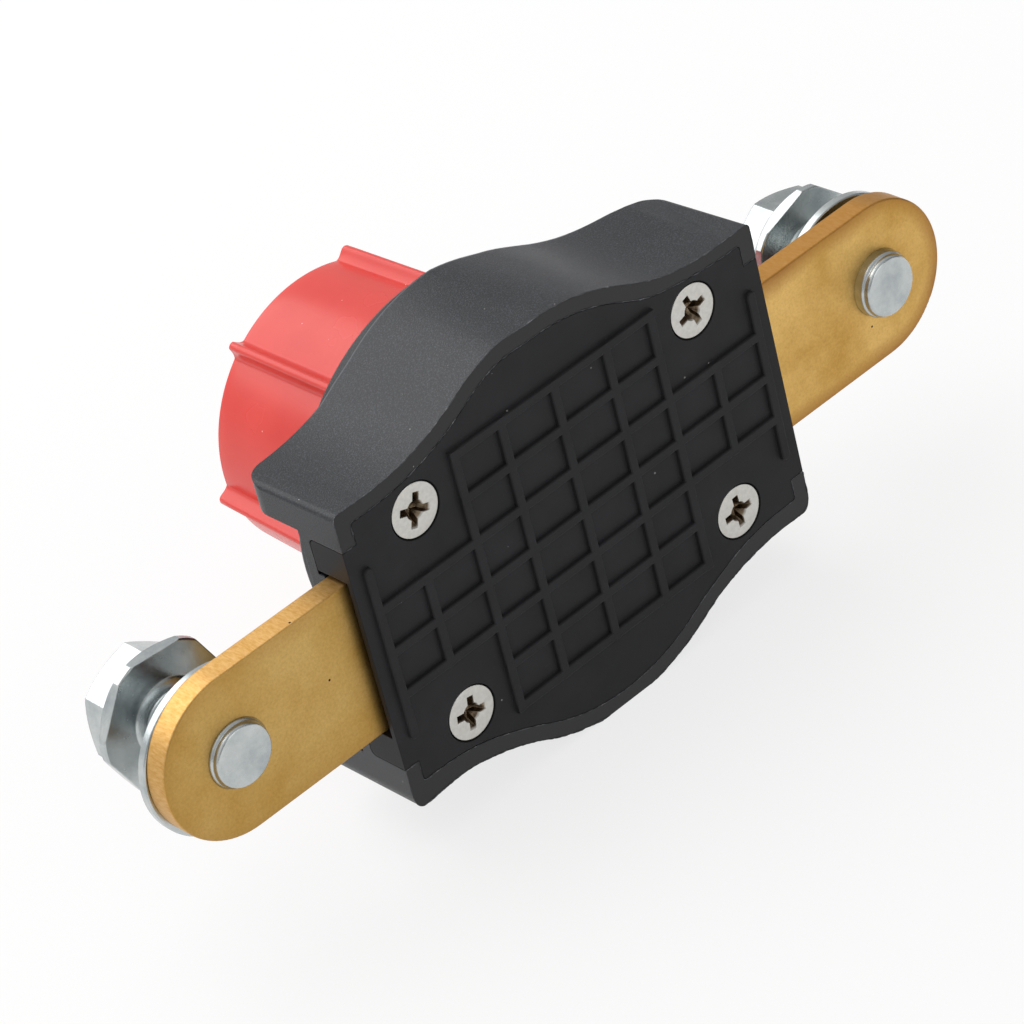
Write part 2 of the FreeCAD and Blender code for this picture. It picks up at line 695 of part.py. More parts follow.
def contact_carrier():
    """Moulded rotor: it takes the spindle's square, turns the bridge and carries the springs."""
    h = driver_square / 2
    driver_y = rim - cover_t - socket_t - face_gap
    body = turned([(0, carrier_front_y), (carrier_r, carrier_front_y), (carrier_r, carrier_y), (0, carrier_y)])
    lug_y = carrier_front_y + face_gap
    lug = sector(carrier_r - 1, lug_r, lug_angle, lug_half, lug_y, carrier_front_y + lug_t - face_gap)
    body = body.fuse(lug)
    pocket = turned([
        (h * math.sqrt(2) + 0.1, carrier_y + 1), (spring_r + spring_wire + 0.5, carrier_y + 1),
        (spring_r + spring_wire + 0.5, spring_seat_y), (h * math.sqrt(2) + 0.1, spring_seat_y),
    ])
    s = spindle_square / 2 + slip
    cuts = [pocket, rod(collar_r + slip, carrier_front_y - 1, collar_y + slip)]
    cuts.append(box(-s, s, collar_y - 0.5, collar_y + square_len + face_gap, -s, s))
    for x, z in ball_places():
        cuts.append(rod(ball_r + slip, carrier_front_y - 1, carrier_front_y + ball_hole_len, x, z))
    body = body.cut(cuts)
    driver = box(-h, h, carrier_y - 0.5, driver_y, -h, h)
    return body.fuse([driver, rod(journal_r, driver_y - 0.5, driver_y + journal_len)]).removeSplitter()


def contact_bridge():
    """Copper plate across both bars when the switch is on; it stands upright when off."""
    half = bridge_half
    w = bridge_w / 2
    plate = box(-w, w, bridge_y - bridge_t, bridge_y, -half, half)
    plate = plate.common(rod(half, bridge_y - bridge_t, bridge_y))
    s = driver_square / 2 + slip
    return plate.cut(box(-s, s, bridge_y - bridge_t - 1, bridge_y + 1, -s, s))


def coil(mean_r, wire_r, y0, y1, turns, x=0.0, z=0.0):
    """A round-wire helix along Y that fills the space between two depths."""
    low = min(y0, y1) + wire_r
    high = max(y0, y1) - wire_r
    helix = Part.makeHelix((high - low) / turns, high - low, mean_r)
    section = Part.Wire(Part.makeCircle(wire_r, V(mean_r, 0, 0), V(0, 1, 0)))
    spring = Part.Wire(helix).makePipeShell([section], True, True)
    spring.rotate(V(0, 0, 0), V(1, 0, 0), -90)
    spring.translate(V(x, low, z))
    return spring


def contact_spring():
    return coil(spring_r, spring_wire, spring_seat_y, bridge_y - bridge_t, spring_turns)


def click_balls():
    y = chamber_y - ball_bite + ball_r
    return [Part.makeSphere(ball_r, V(x, y, z)) for x, z in ball_places()]


def click_springs():
    touch = math.sqrt((ball_r + click_wire) ** 2 - click_mean_r ** 2)
    near = chamber_y - ball_bite + ball_r + touch - click_wire + slip
    far = carrier_front_y + ball_hole_len
    return [coil(click_mean_r, click_wire, near, far, click_turns, x, z) for x, z in ball_places()]


def main():
    nodes = {"housing": housing(), "back_cover": back_cover()}
    for k, ((sx, sz), turn) in enumerate(screw_turns.items()):
        nodes[f"cover_screw_{k + 1}"] = cover_screw(sx * screw_x, sz * screw_z, turn)
    hang = washer_hole_r - bolt_r - slip
    nodes["left_terminal_bar"] = terminal_bar(1)
    nodes["right_terminal_bar"] = terminal_bar(-1)
    nodes["left_terminal_bolt"] = terminal_bolt(1, left_tip, left_hex)
    nodes["right_terminal_bolt"] = terminal_bolt(-1, right_tip, right_hex)
    terminal_washer = (washer_r, washer_hole_r, washer_t, washer_chamfer, hang)
    nodes["left_terminal_washer"] = washer(bolt_x, bar_front_y, *terminal_washer, left_washer_drop)
    nodes["right_terminal_washer"] = washer(-bolt_x, rim - right_washer_depth, *terminal_washer, right_washer_drop)
    nodes["knob"] = knob()
    nodes["knob_screw"] = knob_screw()
    nodes["knob_screw_washer"] = washer(0, knob_front_y + dish_t, knob_washer_r, knob_screw_r + 2 * slip, knob_washer_t,
                                        washer_chamfer / 2)
    nodes["spindle"] = spindle()
    nodes["spindle_seal"] = spindle_seal()
    nodes["contact_carrier"] = contact_carrier()
    nodes["contact_bridge"] = contact_bridge()
    nodes["contact_spring"] = contact_spring()
    for k, (ball, spring) in enumerate(zip(click_balls(), click_springs())):
        nodes[f"click_ball_{k + 1}"] = ball
        nodes[f"click_spring_{k + 1}"] = spring
    os.makedirs("parts", exist_ok=True)
    for name, shape in nodes.items():
        shape.exportStep(f"parts/{name}.step")
        print(name, "solids", len(shape.Solids), "volume", round(shape.Volume, 1), "valid", shape.isValid())


main()
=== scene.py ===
import math

import bmesh
import bpy
from mathutils import Matrix, Vector


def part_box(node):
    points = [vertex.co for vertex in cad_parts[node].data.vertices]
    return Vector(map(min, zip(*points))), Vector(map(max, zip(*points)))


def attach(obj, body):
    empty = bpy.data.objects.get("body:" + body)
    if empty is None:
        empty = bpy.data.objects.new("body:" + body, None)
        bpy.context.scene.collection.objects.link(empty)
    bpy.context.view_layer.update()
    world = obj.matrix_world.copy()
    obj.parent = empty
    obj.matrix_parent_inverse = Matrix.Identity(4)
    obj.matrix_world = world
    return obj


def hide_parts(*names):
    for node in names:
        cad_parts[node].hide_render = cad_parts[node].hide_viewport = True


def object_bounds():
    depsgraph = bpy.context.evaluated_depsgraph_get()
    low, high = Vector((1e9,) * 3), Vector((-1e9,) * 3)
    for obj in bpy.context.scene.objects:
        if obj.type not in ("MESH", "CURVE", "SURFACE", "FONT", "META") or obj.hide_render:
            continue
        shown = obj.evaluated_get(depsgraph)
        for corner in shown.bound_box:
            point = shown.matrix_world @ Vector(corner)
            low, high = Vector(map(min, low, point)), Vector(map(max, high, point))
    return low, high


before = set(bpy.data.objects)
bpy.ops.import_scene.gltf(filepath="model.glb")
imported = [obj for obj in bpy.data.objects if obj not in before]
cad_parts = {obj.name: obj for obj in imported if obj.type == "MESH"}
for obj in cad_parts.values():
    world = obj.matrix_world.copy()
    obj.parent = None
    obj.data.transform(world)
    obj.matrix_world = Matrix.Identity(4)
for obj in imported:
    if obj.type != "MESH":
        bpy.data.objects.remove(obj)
CAD_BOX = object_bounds()

bl_info = {
    "name": "Battery disconnect switch",
    "version": (1, 0, 0),
    "blender": (4, 5, 0),
    "location": "View3D > Sidebar > Switch",
    "description": "Dresses the switch's frame: mouldings, knob, brass bars, bolts and screws",
    "category": "Object",
}

MM = 0.001
BODY = "switch_body"
ROTOR = "rotor"

# Refractive indices of the plastics
ABS_IOR = 1.53
PP_IOR = 1.49

# How far the mouldings' outline sinks, as (x, drop) in millimetres: at the back rim, at the top wall's front,
# and at the bottom wall
RIM_SINK = ((-39.6, 0.1), (-34.0, 0.3), (-22.0, 0.9), (-15.0, 1.0), (2.0, 1.0), (8.0, 0.0))
FRONT_SINK = ((-39.6, 1.5), (-37.0, 0.8), (-34.0, 0.2), (-31.0, 0.0), (-28.0, 0.2), (-22.0, 0.7), (-14.0, 1.2),
              (-8.0, 1.1), (0.0, 0.0), (20.0, 0.0), (24.0, 0.6), (28.0, 0.5), (39.6, 0.2))
LOW_SINK = ((30.0, 0.6), (39.6, 1.4))
# Only the long walls sink: from this height on, fully so this much further out, in millimetres
WALL_FOOT, WALL_FADE = 22.0, 2.5
WALL_DEPTH = 20.0

# How far each cover screw's cross is turned, in degrees from +X towards +Z
SCREW_TURNS = (19.0, 9.0, -18.3, -3.3)

# A bolt's turned end as (radius, depth below the tip) in millimetres: collar, shoulder, rim and shallow dish
BOLT_TIP = ((0.0, 4.0), (5.04, 4.0), (5.04, 1.2), (4.97, 1.0), (4.86, 0.88), (4.78, 0.8), (4.74, 0.72), (4.73, 0.62),
            (4.7, 0.46), (4.62, 0.2), (4.52, 0.0), (4.36, -0.12), (4.18, -0.12), (4.04, -0.05), (3.9, -0.03),
            (0.0, -0.02))

# The camera's axes and place, fitted to the photo
RIGHT = Vector((-0.71225, 0.66915, -0.21199))
UP = Vector((-0.52023, -0.30047, 0.79942))
BACK = Vector((0.47124, 0.67967, 0.56212))
PLACE = Vector((0.31067, 0.43072, 0.36413))


# Colour and node helpers

def linear(code, alpha=1.0):
    """An sRGB hex colour as the linear values that shaders take."""
    values = [int(code[i:i + 2], 16) / 255 for i in (1, 3, 5)]
    values = [v / 12.92 if v <= 0.04045 else ((v + 0.055) / 1.055) ** 2.4 for v in values]
    return (*values, alpha)


def add(tree, kind, inputs=None, **settings):
    """Adds one node with its settings. Each input is a plain value, or the socket that it is linked from."""
    node = tree.nodes.new(kind)
    for name, value in settings.items():
        setattr(node, name, value)
    for name, value in (inputs or {}).items():
        if isinstance(value, bpy.types.NodeSocket):
            tree.links.new(value, node.inputs[name])
        else:
            node.inputs[name].default_value = value
    return node


def reckon(tree, operation, *parts):
    """One step of arithmetic on sockets and numbers."""
    return add(tree, "ShaderNodeMath", dict(enumerate(parts)), operation=operation).outputs[0]


def vector_step(tree, operation, out, inputs):
    """One step of arithmetic on vectors."""
    return add(tree, "ShaderNodeVectorMath", inputs, operation=operation).outputs[out]


def apart(tree, vector):
    """A vector's X, Y and Z sockets."""
    return add(tree, "ShaderNodeSeparateXYZ", {"Vector": vector}).outputs


def spread(tree, value, low, high, start=0.0, end=1.0):
    """The value with low to high carried over to start to end, and held beyond them."""
    return add(tree, "ShaderNodeMapRange", {"Value": value, "From Min": low, "From Max": high,
                                            "To Min": start, "To Max": end}).outputs["Result"]


def blend(tree, under, over, share, way="MIX", kind="RGBA"):
    """Two colours, or two numbers where kind is FLOAT, mixed by a share."""
    inputs = {"A": under, "B": over, "Factor": share}
    return add(tree, "ShaderNodeMix", inputs, data_type=kind, blend_type=way).outputs["Result"]


def ramp(tree, source, stops):
    """A colour ramp from (place, hex colour) stops."""
    node = add(tree, "ShaderNodeValToRGB", {"Fac": source})
    band = node.color_ramp
    while len(band.elements) < len(stops):
        band.elements.new(0.5)
    for element, (place, code) in zip(band.elements, stops):
        element.position = place
        element.color = linear(code)
    return node.outputs["Color"]


def per_metre(size_mm):
    """A texture scale for features of about this size."""
    return 1.0 / (size_mm * MM)


def noise(tree, place, size_mm, detail, roughness=0.5):
    """A cloudy pattern with features of about this size."""
    return add(tree, "ShaderNodeTexNoise", {"Vector": place, "Scale": per_metre(size_mm), "Detail": detail,
                                            "Roughness": roughness}).outputs["Fac"]


def specks(tree, place, spacing_mm, size, under, code, where=None):
    """Specks of one colour scattered over another, at this spacing, or only where a mask is 1."""
    cells = add(tree, "ShaderNodeTexVoronoi", {"Vector": place, "Scale": per_metre(spacing_mm), "Randomness": 1.0})
    spot = reckon(tree, "LESS_THAN", cells.outputs["Distance"], size)
    if where:
        spot = reckon(tree, "MULTIPLY", spot, where)
    return blend(tree, under, linear(code), spot)


def normal_parts(tree):
    """The X, Y and Z sockets of the surface's normal."""
    return apart(tree, add(tree, "ShaderNodeNewGeometry").outputs["Normal"])


def finish_material(name, constants):
    """An empty material with these constants on its shader, and its Object coordinates."""
    old = bpy.data.materials.get(name)
    if old:
        bpy.data.materials.remove(old)
    material = bpy.data.materials.new(name)
    material.use_nodes = True
    tree = material.node_tree
    for socket, value in constants.items():
        tree.nodes["Principled BSDF"].inputs[socket].default_value = value
    return material, tree, add(tree, "ShaderNodeTexCoord").outputs["Object"]


def surfaced(material, colour, rough, relief, edge_mm=None):
    """The material with its colour, its roughness as (pattern, low, high) and its fine relief as
    (pattern, strength, depth in mm) on its shader. Its piece's edges look rounded by edge_mm."""
    tree = material.node_tree
    shader = tree.nodes["Principled BSDF"]
    pattern, strength, depth_mm = relief
    inputs = {"Height": pattern, "Strength": strength, "Distance": depth_mm * MM}
    if edge_mm:
        inputs["Normal"] = add(tree, "ShaderNodeBevel", {"Radius": edge_mm * MM}, samples=6).outputs["Normal"]
    tree.links.new(add(tree, "ShaderNodeBump", inputs).outputs["Normal"], shader.inputs["Normal"])
    tree.links.new(colour, shader.inputs["Base Color"])
    if rough:
        pattern, low, high = rough
        tree.links.new(spread(tree, pattern, 0.0, 1.0, low, high), shader.inputs["Roughness"])
    return material


# Materials

def grained_abs(wall_front, bow, half):
    """Black ABS from a spark-eroded mould: a fine grain that breaks the light into grey specks.
    The back rim comes from bare steel and stays smooth, and a pale painted highlight runs along the walls' bowed front
    edge."""
    material, tree, place = finish_material("spark grained black ABS", {
        "Metallic": 0.0, "IOR": ABS_IOR, "Specular IOR Level": 0.36})
    grain = noise(tree, place, 0.22, 2.0, 0.6)
    cloud = noise(tree, place, 14.0, 3.0)
    base = ramp(tree, grain, [(0.36, "#16181C"), (0.52, "#202327"), (0.66, "#42454C")])
    tone = ramp(tree, cloud, [(0.3, "#C9CCD2"), (0.7, "#FFFFFF")])
    rim = spread(tree, normal_parts(tree)["Y"], 0.85, 0.95)
    walls = blend(tree, base, tone, 1.0, "MULTIPLY")
    plain = blend(tree, walls, linear("#101012"), rim)

    # The distance from the walls' front edge, which bows forward in the middle, gives a thin painted highlight line
    # along that edge, strongest over the crown
    parts = apart(tree, place)
    across = reckon(tree, "MULTIPLY", parts["X"], 1.0 / half)
    square = reckon(tree, "MULTIPLY", across, across)
    front = reckon(tree, "MULTIPLY_ADD", square, -bow, bow - wall_front - 0.15 * MM)
    off = reckon(tree, "ABSOLUTE", reckon(tree, "ADD", parts["Y"], front))
    # The painted highlight is at half strength over the crown and fades out towards the walls' ends
    highlight_over_crown = spread(tree, reckon(tree, "ABSOLUTE", parts["X"]), 23.0 * MM, 27.0 * MM, 0.5, 0.0)
    line = spread(tree, off, 0.06 * MM, 0.15 * MM, highlight_over_crown, 0.0)
    # Painted highlight: the pale grey #707378 laid along the front edge
    painted_edge_highlight = blend(tree, plain, linear("#707378"), line)
    flecked = specks(tree, place, 3.2, 0.03, painted_edge_highlight, "#98958E")
    keep = spread(tree, rim, 0.0, 1.0, 0.55, 0.06)
    return surfaced(material, flecked, (cloud, 0.34, 0.43), (grain, keep, 0.1), 0.22)


def plain_abs():
    """Black ABS from a bare steel mould: dull and even, with dust, rubbed corners and faint flow marks."""
    material, tree, place = finish_material("plain black ABS", {
        "Metallic": 0.0, "IOR": ABS_IOR, "Specular IOR Level": 0.1})
    cloud = noise(tree, place, 9.0, 4.0, 0.6)
    fine = noise(tree, place, 0.5, 2.0)
    flow = add(tree, "ShaderNodeMapping", {"Vector": place, "Scale": (1.0, 1.0, 7.0), "Rotation": (0.0, 0.35, 0.0)})
    scuff = noise(tree, flow.outputs["Vector"], 5.0, 6.0, 0.75)
    base = ramp(tree, cloud, [(0.3, "#252526"), (0.7, "#2D2D2F")])
    rub = ramp(tree, scuff, [(0.66, "#000000"), (0.82, "#242426")])
    worn = blend(tree, base, rub, 1.0, "ADD")
    dusty = reckon(tree, "GREATER_THAN", noise(tree, place, 11.0, 1.0), 0.53)
    flecked = specks(tree, place, 3.4, 0.045, worn, "#8E8D8A", dusty)
    return surfaced(material, flecked, (cloud, 0.38, 0.52), (fine, 0.25, 0.04), 0.2)


def rubbed_flash():
    """Thin ABS squeezed out along a mould's parting line: paler where it is rubbed and torn."""
    material, tree, place = finish_material("rubbed ABS flash", {"Metallic": 0.0, "IOR": ABS_IOR, "Roughness": 0.62})
    tear = noise(tree, place, 1.3, 5.0, 0.7)
    base = ramp(tree, tear, [(0.42, "#2C2D30"), (0.56, "#4B4C50"), (0.7, "#8A8A8C")])
    return surfaced(material, base, None, (tear, 0.5, 0.1))


def red_pp():
    """Red polypropylene: satin, with soft wide highlights and a few specks of dust."""
    material, tree, place = finish_material("satin red polypropylene", {"Metallic": 0.0, "IOR": PP_IOR})
    cloud = noise(tree, place, 12.0, 3.0)
    fine = noise(tree, place, 0.6, 3.0)
    base = ramp(tree, cloud, [(0.3, "#DA3A32"), (0.7, "#E4433A")])
    flecked = specks(tree, place, 3.6, 0.03, base, "#F3B7AE")
    return surfaced(material, flecked, (cloud, 0.22, 0.31), (fine, 0.12, 0.05))


def rolled_brass(name, bolt_x, film_low, film_high, brown):
    """Rolled brass with sheared edges: matt faces under a brown film, which is thickest round the outer end,
    and brighter edges with fine shear marks across them."""
    material, tree, place = finish_material(name, {"Metallic": 1.0})
    film = noise(tree, place, 16.0, 5.0, 0.62)
    stretch = add(tree, "ShaderNodeMapping", {"Vector": place, "Scale": (1.0, 0.28, 1.0)})
    shear = noise(tree, stretch.outputs["Vector"], 0.35, 4.0, 0.7)
    pit = noise(tree, place, 0.45, 4.0, 0.7)
    mottle = ramp(tree, pit, [(0.3, "#EEEBE4"), (0.6, "#FFFFFF")])
    face = ramp(tree, film, [(0.32, film_low), (0.66, film_high)])
    face = blend(tree, face, mottle, 1.0, "MULTIPLY")

    # The distance from the bar's middle line, or from the bolt past it, gives the brown border
    parts = apart(tree, place)
    past = reckon(tree, "SUBTRACT", reckon(tree, "ABSOLUTE", parts["X"]), bolt_x)
    from_line = add(tree, "ShaderNodeCombineXYZ", {"X": reckon(tree, "MAXIMUM", past, 0.0), "Y": parts["Z"]})
    reach = vector_step(tree, "LENGTH", "Value", {0: from_line.outputs["Vector"]})
    ragged = reckon(tree, "ADD", reach, reckon(tree, "MULTIPLY", film, 5.0 * MM))
    border = spread(tree, ragged, 12.4 * MM, 15.6 * MM, 0.0, brown)
    aged = blend(tree, face, linear("#99622A"), border)

    bright = ramp(tree, shear, [(0.3, "#C4964F"), (0.7, "#E2BC7E")])
    tint = blend(tree, bright, linear("#B07830"), brown * 0.8)
    edge = spread(tree, reckon(tree, "ABSOLUTE", normal_parts(tree)["Y"]), 0.55, 0.9, 1.0, 0.0)
    pitted = specks(tree, place, 6.5, 0.03, blend(tree, aged, tint, edge), "#3C2B17")
    height = reckon(tree, "ADD", shear, pit)
    return surfaced(material, pitted, (film, 0.42, 0.56), (height, 0.22, 0.05), 0.25)


def bright_zinc():
    """Zinc plate with a clear bluish passivation: mirror-like, with shallow waves and handling marks."""
    material, tree, place = finish_material("bright zinc plate", {"Metallic": 1.0})
    fine = noise(tree, place, 0.9, 4.0, 0.65)
    base = ramp(tree, noise(tree, place, 5.0, 4.0, 0.6), [(0.3, "#A3AAAC"), (0.7, "#C9CDCC")])
    return surfaced(material, base, (fine, 0.14, 0.34), (fine, 0.22, 0.06), 0.25)


def satin_nickel(face_y):
    """Nickel plate on the cover screws: satin grey faces with bright edges, turning darker brown deeper in the cross
    recess.
    """
    material, tree, place = finish_material("satin nickel plate", {"Metallic": 1.0})
    fine = noise(tree, place, 0.7, 4.0, 0.6)
    base = ramp(tree, fine, [(0.3, "#BEBCB6"), (0.7, "#CECCC6")])
    recess_brown = ramp(tree, fine, [(0.35, "#4A3E30"), (0.6, "#8B7B66")])
    # Below the face the colour turns from the grey to the darker brown ramp, fully so 0.35 mm down in the recess
    deep = spread(tree, apart(tree, place)["Y"], face_y - 0.1 * MM, face_y - 0.35 * MM)
    return surfaced(material, blend(tree, base, recess_brown, deep), (fine, 0.28, 0.4), (fine, 0.1, 0.04), 0.1)


def inner_finish(name, metallic, low, high, rough_low, rough_high):
    """A finish for the working parts inside: two tones and a fine grain."""
    material, tree, place = finish_material(name, {"Metallic": metallic})
    fine = noise(tree, place, 0.8, 4.0)
    base = ramp(tree, fine, [(0.35, low), (0.65, high)])
    return surfaced(material, base, (fine, rough_low, rough_high), (fine, 0.2, 0.04), 0.2)


# Mesh helpers

def paint(obj, material):
    obj.data.materials.clear()
    obj.data.materials.append(material)


def new_object(name, mesh):
    old = bpy.data.objects.get(name)
    if old:
        bpy.data.objects.remove(old)
    obj = bpy.data.objects.new(name, mesh)
    bpy.context.scene.collection.objects.link(obj)
    return obj


def baked(obj):
    """The object with its modifiers applied, as a plain mesh."""
    graph = bpy.context.evaluated_depsgraph_get()
    mesh = bpy.data.meshes.new_from_object(obj.evaluated_get(graph), preserve_all_data_layers=True, depsgraph=graph)
    obj.modifiers.clear()
    old = obj.data
    obj.data = mesh
    bpy.data.meshes.remove(old)
    return obj


def lathed(bm, rings, x, z, count):
    """Spins (radius, y) rings about a line along Y into a closed skin."""
    rows = []
    for r, y in rings:
        if r:
            turns = [2 * math.pi * i / count for i in range(count)]
            rows.append([bm.verts.new((x + r * math.cos(turn), y, z + r * math.sin(turn))) for turn in turns])
        else:
            rows.append([bm.verts.new((x, y, z))] * count)
    for here, there in zip(rows, rows[1:]):
        for i in range(count):
            j = (i + 1) % count
            corners = list(dict.fromkeys((here[i], here[j], there[j], there[i])))
            if len(corners) > 2:
                bm.faces.new(corners)


def shaped(name, bm):
    """The skin as an object, with its normals outwards."""
    bmesh.ops.recalc_face_normals(bm, faces=bm.faces)
    mesh = bpy.data.meshes.new(name)
    bm.to_mesh(mesh)
    bm.free()
    return new_object(name, mesh)


def smoothed(obj, degrees):
    """Shades a piece smooth, and sharp where its faces meet at more than this angle."""
    for face in obj.data.polygons:
        face.use_smooth = True
    obj.data.set_sharp_from_angle(angle=math.radians(degrees))


def sink_at(table, x):
    """The drop at x from a table of (x, drop) pairs, level beyond its ends."""
    if x <= table[0][0]:
        return table[0][1]
    for (x0, a), (x1, b) in zip(table, table[1:]):
        if x < x1:
            return a + (b - a) * (x - x0) / (x1 - x0)
    return table[-1][1]


def settle(co):
    """Moves a point of the mouldings to where their slight warp puts it."""
    x, y, z = (v / MM for v in co)
    deep = min(max(-y / WALL_DEPTH, 0.0), 1.0)
    drop = sink_at(LOW_SINK, x) if z < 0.0 else sink_at(RIM_SINK, x) * (1.0 - deep) + sink_at(FRONT_SINK, x) * deep
    co.z -= drop * min(max((abs(z) - WALL_FOOT) / WALL_FADE, 0.0), 1.0) * MM


def dressed(name, node, body, material):
    """A copy of a CAD node, with its own smooth and sharp shading, in the piece's finish."""
    obj = new_object(name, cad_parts[node].data.copy())
    paint(obj, material)
    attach(obj, body)
    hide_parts(node)
    return obj


# Geometry Nodes

def node_tree(name, inputs):
    """An empty geometry tree with named inputs, (name, socket type, default): the tree, its input sockets
    and its output node."""
    tree = bpy.data.node_groups.new(name, "GeometryNodeTree")
    tree.interface.new_socket("Geometry", in_out="OUTPUT", socket_type="NodeSocketGeometry")
    tree.interface.new_socket("Geometry", in_out="INPUT", socket_type="NodeSocketGeometry")
    for label, kind, default in inputs:
        socket = tree.interface.new_socket(label, in_out="INPUT", socket_type=kind)
        if default is not None:
            socket.default_value = default
    return tree, add(tree, "NodeGroupInput").outputs, add(tree, "NodeGroupOutput")


def close_tree(tree, geometry, material, out):
    """Ends a tree in Realize Instances and Set Material."""
    real = add(tree, "GeometryNodeRealizeInstances", {"Geometry": geometry}).outputs["Geometry"]
    last = add(tree, "GeometryNodeSetMaterial", {"Geometry": real, "Material": material})
    tree.links.new(last.outputs["Geometry"], out.inputs["Geometry"])
    return tree


def ring_section(tree, corners, radius):
    """A closed profile with this many corners."""
    return add(tree, "GeometryNodeCurvePrimitiveCircle", {"Resolution": corners, "Radius": radius},
               mode="RADIUS").outputs["Curve"]


def grown(obj, tree, values):
    """Runs a geometry tree on an object with these inputs and keeps the result as a plain mesh."""
    modifier = obj.modifiers.new(tree.name, "NODES")
    modifier.node_group = tree
    for item in tree.interface.items_tree:
        if item.item_type == "SOCKET" and item.in_out == "INPUT" and item.name in values:
            modifier[item.identifier] = values[item.name]
    result = baked(obj)
    bpy.data.node_groups.remove(tree)
    return result


def thread_tree(material):
    """A right-hand thread ridge: a spiral with a diamond section, laid along Y."""
    tree, given, out = node_tree("Thread ridge", [
        ("Core", "NodeSocketFloat", 0.0044), ("Ridge", "NodeSocketFloat", 0.0006),
        ("Pitch", "NodeSocketFloat", 0.0015), ("Length", "NodeSocketFloat", 0.01), ("Place", "NodeSocketVector", None),
    ])
    turns = reckon(tree, "DIVIDE", given["Length"], given["Pitch"])
    spiral = add(tree, "GeometryNodeCurveSpiral", {
        "Resolution": 40, "Rotations": turns, "Start Radius": given["Core"], "End Radius": given["Core"],
        "Height": given["Length"]}).outputs["Curve"]
    upright = add(tree, "GeometryNodeSetCurveNormal", {"Curve": spiral}, mode="Z_UP").outputs["Curve"]
    ridge = add(tree, "GeometryNodeCurveToMesh", {
        "Curve": upright, "Profile Curve": ring_section(tree, 4, given["Ridge"]), "Fill Caps": True}).outputs["Mesh"]
    laid = add(tree, "GeometryNodeTransform", {
        "Geometry": ridge, "Rotation": (-math.pi / 2, 0.0, 0.0), "Translation": given["Place"]}).outputs["Geometry"]
    return close_tree(tree, laid, material, out)


def rib_tree(material):
    """Raises evenly spaced grip ribs on a lathed skin: a rounded crest and hollow flanks."""
    tree, given, out = node_tree("Grip ribs", [
        ("Count", "NodeSocketFloat", 6.0), ("First", "NodeSocketFloat", 0.0), ("Rise", "NodeSocketFloat", 0.002),
        ("Half Width", "NodeSocketFloat", 0.0015),
    ])
    parts = apart(tree, add(tree, "GeometryNodeInputPosition").outputs["Position"])
    angle = reckon(tree, "SUBTRACT", reckon(tree, "ARCTAN2", parts["Z"], parts["X"]), given["First"])
    pitch = reckon(tree, "DIVIDE", 2 * math.pi, given["Count"])
    share = reckon(tree, "DIVIDE", angle, pitch)
    local = reckon(tree, "SUBTRACT", share, reckon(tree, "ROUND", share))
    local = reckon(tree, "MULTIPLY", local, pitch)
    level = add(tree, "ShaderNodeCombineXYZ", {"X": parts["X"], "Z": parts["Z"]}).outputs["Vector"]
    radius = vector_step(tree, "LENGTH", "Value", {0: level})
    beside = reckon(tree, "ABSOLUTE", reckon(tree, "MULTIPLY", local, radius))
    shape = add(tree, "ShaderNodeFloatCurve", {"Value": reckon(tree, "DIVIDE", beside, given["Half Width"])})
    curve = shape.mapping.curves[0]
    curve.points[0].location = (0.0, 1.0)
    curve.points[1].location = (1.0, 0.0)
    for x, y in ((0.2, 0.965), (0.3, 0.91), (0.37, 0.84), (0.42, 0.7), (0.5, 0.5), (0.6, 0.31), (0.74, 0.14),
                 (0.88, 0.04)):
        curve.points.new(x, y)
    shape.mapping.update()
    weight = add(tree, "GeometryNodeInputNamedAttribute", {"Name": "rib"}, data_type="FLOAT").outputs["Attribute"]
    height = reckon(tree, "MULTIPLY", shape.outputs["Value"], weight)
    height = reckon(tree, "MULTIPLY", height, given["Rise"])
    outward = vector_step(tree, "NORMALIZE", "Vector", {0: level})
    offset = vector_step(tree, "SCALE", "Vector", {0: outward, "Scale": height})
    moved = add(tree, "GeometryNodeSetPosition", {"Geometry": given["Geometry"], "Offset": offset})
    return close_tree(tree, moved.outputs["Geometry"], material, out)


def flash_tree(material):
    """A thin uneven bead along a mesh's edges, as thick as a noise says."""
    tree, given, out = node_tree("Mould flash", [
        ("Step", "NodeSocketFloat", 0.0003), ("Thickness", "NodeSocketFloat", 0.00012),
        ("Grain", "NodeSocketFloat", 700.0), ("Wander", "NodeSocketFloat", 0.0001),
    ])
    line = add(tree, "GeometryNodeMeshToCurve", {"Mesh": given["Geometry"]}).outputs["Curve"]
    even = add(tree, "GeometryNodeResampleCurve", {"Curve": line, "Length": given["Step"]}, mode="LENGTH")
    place = add(tree, "GeometryNodeInputPosition").outputs["Position"]
    tear = add(tree, "ShaderNodeTexNoise", {"Vector": place, "Scale": given["Grain"], "Detail": 3.0, "Roughness": 0.7})
    thick = spread(tree, tear.outputs["Fac"], 0.42, 0.72, 0.12, 1.0)
    middle = vector_step(tree, "SUBTRACT", "Vector", {0: tear.outputs["Color"], 1: (0.5, 0.5, 0.5)})
    shift = vector_step(tree, "SCALE", "Vector", {0: middle, "Scale": given["Wander"]})
    moved = add(tree, "GeometryNodeSetPosition", {"Geometry": even.outputs["Curve"], "Offset": shift})
    bead = add(tree, "GeometryNodeCurveToMesh", {
        "Curve": moved.outputs["Geometry"], "Profile Curve": ring_section(tree, 6, given["Thickness"]),
        "Scale": thick, "Fill Caps": True})
    return close_tree(tree, bead.outputs["Mesh"], material, out)


# Sizes and colours

